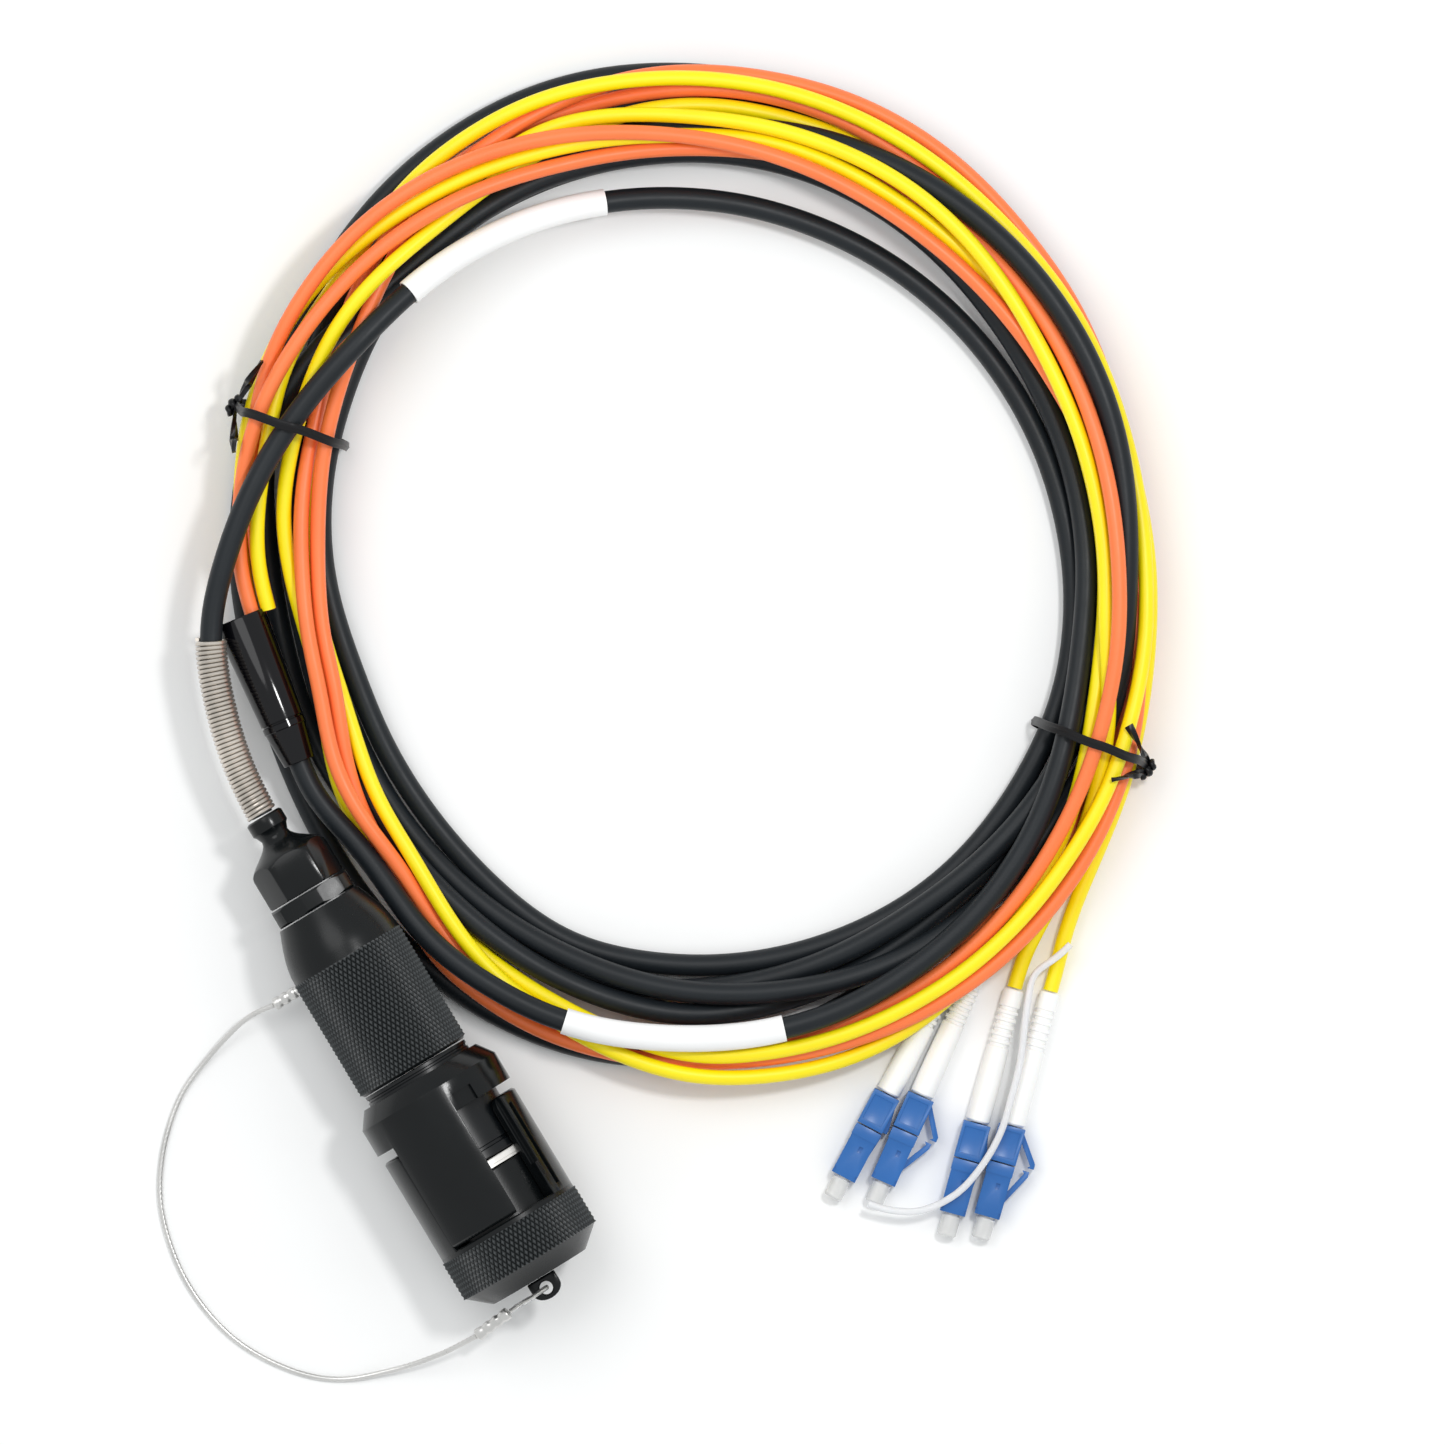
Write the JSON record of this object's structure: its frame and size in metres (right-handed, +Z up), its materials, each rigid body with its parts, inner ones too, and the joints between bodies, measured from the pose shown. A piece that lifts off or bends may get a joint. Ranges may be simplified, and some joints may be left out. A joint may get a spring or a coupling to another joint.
{
  "type": "fibre breakout cable",
  "caption": "Coiled fibre breakout cable: black trunk with a field connector and dust cap on a lanyard at one end, coloured legs with small blue plugs at the other.",
  "frame": {"origin": "middle of the whole part's outline in plan, on the floor that it lies on", "axes": "+Z up from the floor; +Y away from the plugs and the connector's cap, towards the top of the coil; +X to the side where the small plugs lie"},
  "size_m": [0.2248, 0.2966, 0.0346],
  "materials": {
    "black_jacket": "satin, fine matt cable jacket",
    "yellow_jacket": "satin cable jacket",
    "orange_jacket": "satin cable jacket",
    "white_label": "smooth heat-shrink sleeve",
    "black_anodised": "black hard anodised, knurled in places",
    "black_plastic": "satin",
    "gloss_black": "glossy",
    "spring_steel": "wound steel wire",
    "bright_metal": "bright steel",
    "clear_sleeve": "clear sleeve over steel rope",
    "plug_blue": "moulded, satin gloss",
    "white_plastic": "soft moulded",
    "white_ceramic": "polished ceramic",
    "clear_plastic": "clear soft plastic"
  },
  "bodies": {
    "cable": {"trunk_cable": "black_jacket", "leg_yellow_1": "yellow_jacket", "leg_yellow_2": "yellow_jacket", "leg_orange_1": "orange_jacket", "leg_orange_2": "orange_jacket", "label_sleeve_1": "white_label", "label_sleeve_2": "white_label", "breakout_body": "gloss_black", "breakout_nose": "gloss_black", "spring_relief": "spring_steel", "gland_nut": "black_anodised", "backshell_band": "black_anodised", "grip_barrel": "black_anodised", "plug_insert": "black_anodised", "interface_seal": "bright_metal", "lanyard_rope": "bright_metal", "lanyard_ferrule_body": "bright_metal", "twist_tie_left": "black_plastic", "twist_tie_right": "black_plastic", "clear_strap": "clear_plastic", "plug_shell_a": "plug_blue", "plug_housing_a": "plug_blue", "plug_boot_a": "white_plastic", "plug_pin_a": "white_ceramic", "plug_shell_b": "plug_blue", "plug_housing_b": "plug_blue", "plug_boot_b": "white_plastic", "plug_pin_b": "white_ceramic", "plug_shell_c": "plug_blue", "plug_housing_c": "plug_blue", "plug_boot_c": "white_plastic", "plug_pin_c": "white_ceramic", "plug_shell_d": "plug_blue", "plug_housing_d": "plug_blue", "plug_boot_d": "white_plastic", "plug_pin_d": "white_ceramic"},
    "coupling": {"coupling_ring": "black_anodised"},
    "cap": {"dust_cap": "black_anodised", "cap_lug": "black_plastic", "lanyard_loop": "clear_sleeve", "lanyard_ferrule_cap": "bright_metal"},
    "pin_cap_a": {"plug_cap_a": "clear_plastic"},
    "pin_cap_b": {"plug_cap_b": "clear_plastic"},
    "pin_cap_c": {"plug_cap_c": "clear_plastic"},
    "pin_cap_d": {"plug_cap_d": "clear_plastic"}
  },
  "joints": [
    {"name": "coupling_turn", "type": "hinge", "parent": "cable", "child": "coupling", "pos_m": [-0.08814, -0.02109, 0.0173], "axis": [-0.5151, 0.8571, 0], "range_deg": [0, 30]},
    {"name": "cap_pull", "type": "slide", "parent": "cable", "child": "cap", "axis": [0.5151, -0.8571, 0], "range_m": [0, 0.028]},
    {"name": "pin_cap_pull_a", "type": "slide", "parent": "cable", "child": "pin_cap_a", "axis": [-0.4695, -0.8829, 0], "range_m": [0, 0.012]},
    {"name": "pin_cap_pull_b", "type": "slide", "parent": "cable", "child": "pin_cap_b", "axis": [-0.4081, -0.9129, 0], "range_m": [0, 0.012]},
    {"name": "pin_cap_pull_c", "type": "slide", "parent": "cable", "child": "pin_cap_c", "axis": [-0.2659, -0.964, 0], "range_m": [0, 0.012]},
    {"name": "pin_cap_pull_d", "type": "slide", "parent": "cable", "child": "pin_cap_d", "axis": [-0.2717, -0.9624, 0], "range_m": [0, 0.012]}
  ]
}
